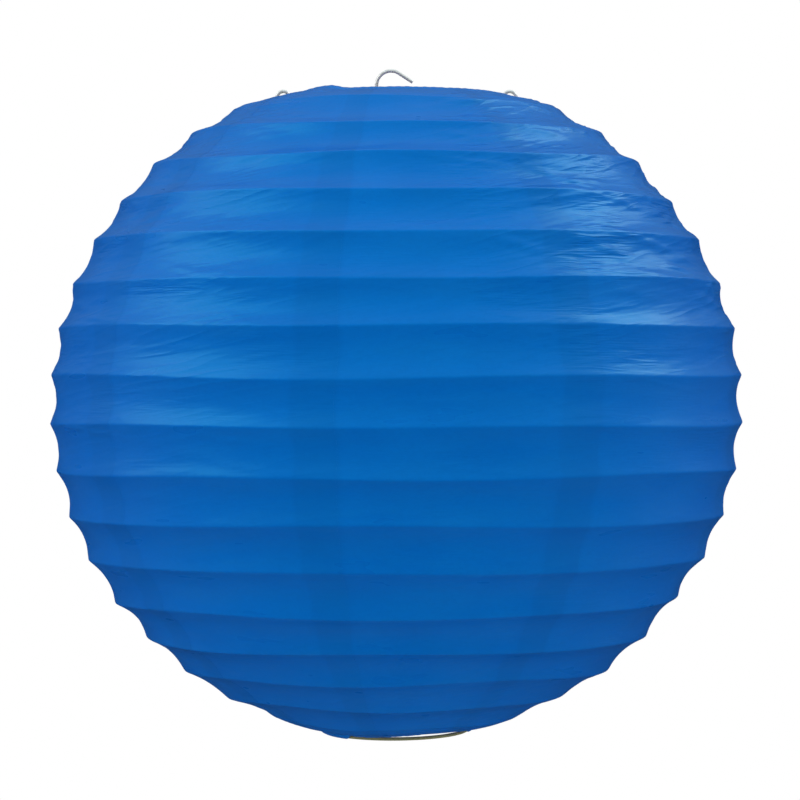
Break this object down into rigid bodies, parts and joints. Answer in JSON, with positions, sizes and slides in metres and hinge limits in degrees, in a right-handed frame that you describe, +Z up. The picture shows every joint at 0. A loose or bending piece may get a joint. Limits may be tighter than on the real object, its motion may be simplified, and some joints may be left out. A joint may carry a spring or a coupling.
{
  "type": "paper lantern",
  "caption": "Round paper lantern on wire hoops, held open by a wire frame with a hanging hook; folds flat towards its top ring.",
  "frame": {"origin": "where a cord bears on the inside of the hanging hook, on the lantern's axis", "axes": "+Z up along the lantern's axis and its stem, +X along the crossbar towards the hook's open side, +Y away from the viewer"},
  "size_m": [0.2996, 0.2996, 0.2886],
  "materials": {
    "blue_paper": "thin dyed paper with a soft sheen, fine cross creases and double layers where the gores lap",
    "frame_wire": "bright galvanised steel wire",
    "ring_wire": "steel wire with a dull olive-yellow passivated coat",
    "hoop_wire": "thin plain steel wire"
  },
  "bodies": {
    "frame": {"hanging_stem": "frame_wire", "top_crossbar": "frame_wire", "stem_crimp_sleeve": "frame_wire", "top_ring": "ring_wire", "paper_gore_1": "blue_paper", "paper_gore_2": "blue_paper", "paper_gore_3": "blue_paper", "paper_gore_4": "blue_paper", "paper_gore_5": "blue_paper", "paper_gore_6": "blue_paper", "paper_gore_7": "blue_paper", "paper_gore_8": "blue_paper"},
    "base": {"bottom_ring": "ring_wire", "foot_bar": "frame_wire"},
    "rib_01": {"rib_hoop_01": "hoop_wire"},
    "rib_02": {"rib_hoop_02": "hoop_wire"},
    "rib_03": {"rib_hoop_03": "hoop_wire"},
    "rib_04": {"rib_hoop_04": "hoop_wire"},
    "rib_05": {"rib_hoop_05": "hoop_wire"},
    "rib_06": {"rib_hoop_06": "hoop_wire"},
    "rib_07": {"rib_hoop_07": "hoop_wire"},
    "rib_08": {"rib_hoop_08": "hoop_wire"},
    "rib_09": {"rib_hoop_09": "hoop_wire"},
    "rib_10": {"rib_hoop_10": "hoop_wire"},
    "rib_11": {"rib_hoop_11": "hoop_wire"},
    "rib_12": {"rib_hoop_12": "hoop_wire"},
    "rib_13": {"rib_hoop_13": "hoop_wire"},
    "rib_14": {"rib_hoop_14": "hoop_wire"},
    "rib_15": {"rib_hoop_15": "hoop_wire"},
    "rib_16": {"rib_hoop_16": "hoop_wire"},
    "rib_17": {"rib_hoop_17": "hoop_wire"}
  },
  "joints": [
    {"name": "fold", "type": "slide", "parent": "frame", "child": "base", "axis": [0, 0, 1], "range_m": [0, 0.25], "deforming": ["paper_gore_1", "paper_gore_2", "paper_gore_3", "paper_gore_4", "paper_gore_5", "paper_gore_6", "paper_gore_7", "paper_gore_8"]},
    {"name": "rib_01_rise", "type": "slide", "parent": "frame", "child": "rib_01", "axis": [0, 0, 1], "range_m": [0, 0.00651]},
    {"name": "rib_02_rise", "type": "slide", "parent": "frame", "child": "rib_02", "axis": [0, 0, 1], "range_m": [0, 0.01645]},
    {"name": "rib_03_rise", "type": "slide", "parent": "frame", "child": "rib_03", "axis": [0, 0, 1], "range_m": [0, 0.02852]},
    {"name": "rib_04_rise", "type": "slide", "parent": "frame", "child": "rib_04", "axis": [0, 0, 1], "range_m": [0, 0.04243]},
    {"name": "rib_05_rise", "type": "slide", "parent": "frame", "child": "rib_05", "axis": [0, 0, 1], "range_m": [0, 0.05787]},
    {"name": "rib_06_rise", "type": "slide", "parent": "frame", "child": "rib_06", "axis": [0, 0, 1], "range_m": [0, 0.07452]},
    {"name": "rib_07_rise", "type": "slide", "parent": "frame", "child": "rib_07", "axis": [0, 0, 1], "range_m": [0, 0.09203]},
    {"name": "rib_08_rise", "type": "slide", "parent": "frame", "child": "rib_08", "axis": [0, 0, 1], "range_m": [0, 0.11007]},
    {"name": "rib_09_rise", "type": "slide", "parent": "frame", "child": "rib_09", "axis": [0, 0, 1], "range_m": [0, 0.1283]},
    {"name": "rib_10_rise", "type": "slide", "parent": "frame", "child": "rib_10", "axis": [0, 0, 1], "range_m": [0, 0.1464]},
    {"name": "rib_11_rise", "type": "slide", "parent": "frame", "child": "rib_11", "axis": [0, 0, 1], "range_m": [0, 0.16406]},
    {"name": "rib_12_rise", "type": "slide", "parent": "frame", "child": "rib_12", "axis": [0, 0, 1], "range_m": [0, 0.18097]},
    {"name": "rib_13_rise", "type": "slide", "parent": "frame", "child": "rib_13", "axis": [0, 0, 1], "range_m": [0, 0.1968]},
    {"name": "rib_14_rise", "type": "slide", "parent": "frame", "child": "rib_14", "axis": [0, 0, 1], "range_m": [0, 0.21124]},
    {"name": "rib_15_rise", "type": "slide", "parent": "frame", "child": "rib_15", "axis": [0, 0, 1], "range_m": [0, 0.22396]},
    {"name": "rib_16_rise", "type": "slide", "parent": "frame", "child": "rib_16", "axis": [0, 0, 1], "range_m": [0, 0.23462]},
    {"name": "rib_17_rise", "type": "slide", "parent": "frame", "child": "rib_17", "axis": [0, 0, 1], "range_m": [0, 0.2429]}
  ],
  "couplings": [
    {"joint": "rib_01_rise", "follows": "fold", "ratio": 0.026},
    {"joint": "rib_02_rise", "follows": "fold", "ratio": 0.06579},
    {"joint": "rib_03_rise", "follows": "fold", "ratio": 0.11406},
    {"joint": "rib_04_rise", "follows": "fold", "ratio": 0.16969},
    {"joint": "rib_05_rise", "follows": "fold", "ratio": 0.23146},
    {"joint": "rib_06_rise", "follows": "fold", "ratio": 0.29805},
    {"joint": "rib_07_rise", "follows": "fold", "ratio": 0.36809},
    {"joint": "rib_08_rise", "follows": "fold", "ratio": 0.44024},
    {"joint": "rib_09_rise", "follows": "fold", "ratio": 0.51317},
    {"joint": "rib_10_rise", "follows": "fold", "ratio": 0.58559},
    {"joint": "rib_11_rise", "follows": "fold", "ratio": 0.65623},
    {"joint": "rib_12_rise", "follows": "fold", "ratio": 0.72385},
    {"joint": "rib_13_rise", "follows": "fold", "ratio": 0.78718},
    {"joint": "rib_14_rise", "follows": "fold", "ratio": 0.84494},
    {"joint": "rib_15_rise", "follows": "fold", "ratio": 0.89581},
    {"joint": "rib_16_rise", "follows": "fold", "ratio": 0.93845},
    {"joint": "rib_17_rise", "follows": "fold", "ratio": 0.97156}
  ]
}
